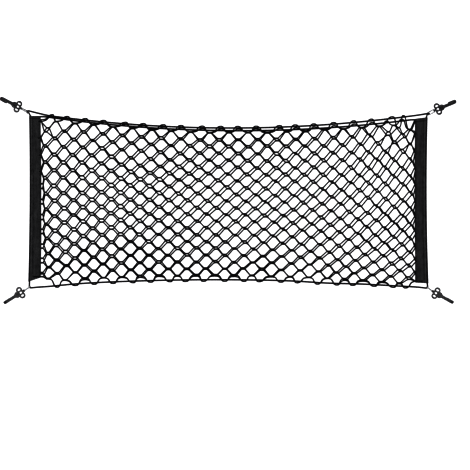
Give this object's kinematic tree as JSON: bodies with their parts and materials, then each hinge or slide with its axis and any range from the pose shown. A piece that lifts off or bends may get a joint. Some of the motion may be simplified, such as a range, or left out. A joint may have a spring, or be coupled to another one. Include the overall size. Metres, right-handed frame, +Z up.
{
  "type": "cargo net",
  "caption": "Envelope cargo net: two layers of knotted elastic mesh between folded fabric sleeves, edged with elastic cord, with a wire clip and plastic hook at each corner.",
  "frame": {"origin": "on the floor, under the middle of the whole outline, hooks included", "axes": "+X along the net from the left sleeve to the right one, +Y towards the open mouth, +Z up through the layers"},
  "size_m": [1.0518, 0.4796, 0.0196],
  "materials": {
    "net_yarn": "matt knotted elastic",
    "elastic_cord": "matt braided elastic",
    "sleeve_cloth": "matt plain weave",
    "clip_steel": "bright wire",
    "hook_plastic": "moulded satin"
  },
  "bodies": {
    "root": {"net_rear": "net_yarn", "net_front": "net_yarn", "edge_cord": "elastic_cord", "mouth_cord": "elastic_cord", "sleeve_left": "sleeve_cloth", "sleeve_right": "sleeve_cloth", "clip_upper_left": "clip_steel", "clip_upper_right": "clip_steel", "clip_lower_left": "clip_steel", "clip_lower_right": "clip_steel", "hook_upper_left": "hook_plastic", "hook_upper_right": "hook_plastic", "hook_lower_left": "hook_plastic", "hook_lower_right": "hook_plastic"}
  },
  "joints": []
}
